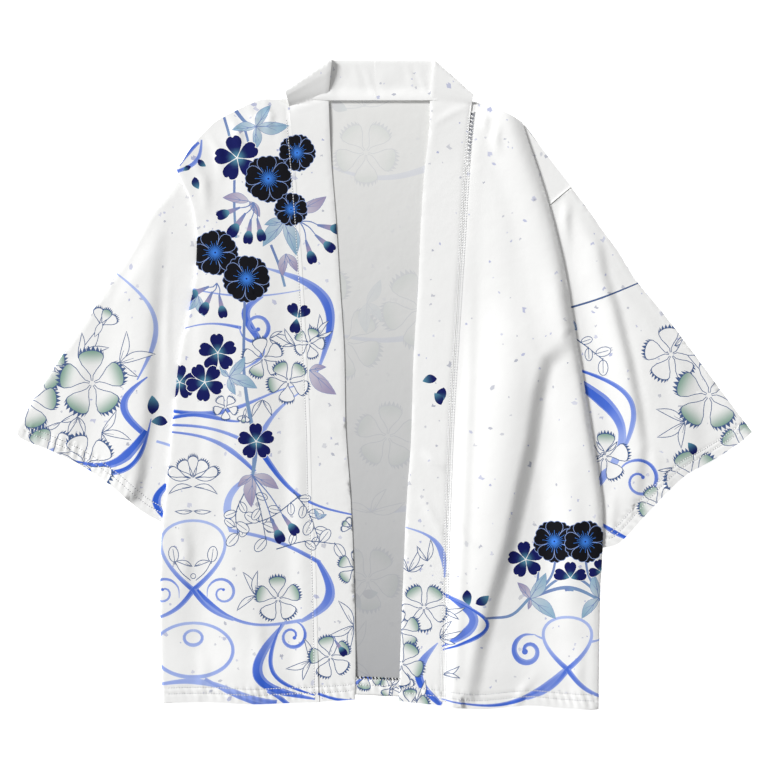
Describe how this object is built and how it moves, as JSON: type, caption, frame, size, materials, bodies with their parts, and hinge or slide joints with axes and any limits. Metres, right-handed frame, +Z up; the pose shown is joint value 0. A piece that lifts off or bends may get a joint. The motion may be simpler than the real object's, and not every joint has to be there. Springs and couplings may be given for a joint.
{
  "type": "kimono jacket",
  "caption": "Open-front kimono jacket of printed cloth, laid flat on its back with wide sleeves spread and a straight collar band folded behind the neck.",
  "frame": {"origin": "middle of the laid garment's outline, on the surface it lies on", "axes": "+X across the garment, towards the sleeve on the viewer's right; +Y from hem to neck; +Z up, out of the surface"},
  "size_m": [0.8482, 0.75, 0.0162],
  "materials": {
    "printed_cloth": "matt white woven polyester with a blue floral print"
  },
  "bodies": {
    "root": {"back": "printed_cloth", "left_front": "printed_cloth", "right_front": "printed_cloth", "left_sleeve": "printed_cloth", "right_sleeve": "printed_cloth", "left_collar_band": "printed_cloth", "right_collar_band": "printed_cloth"}
  },
  "joints": []
}
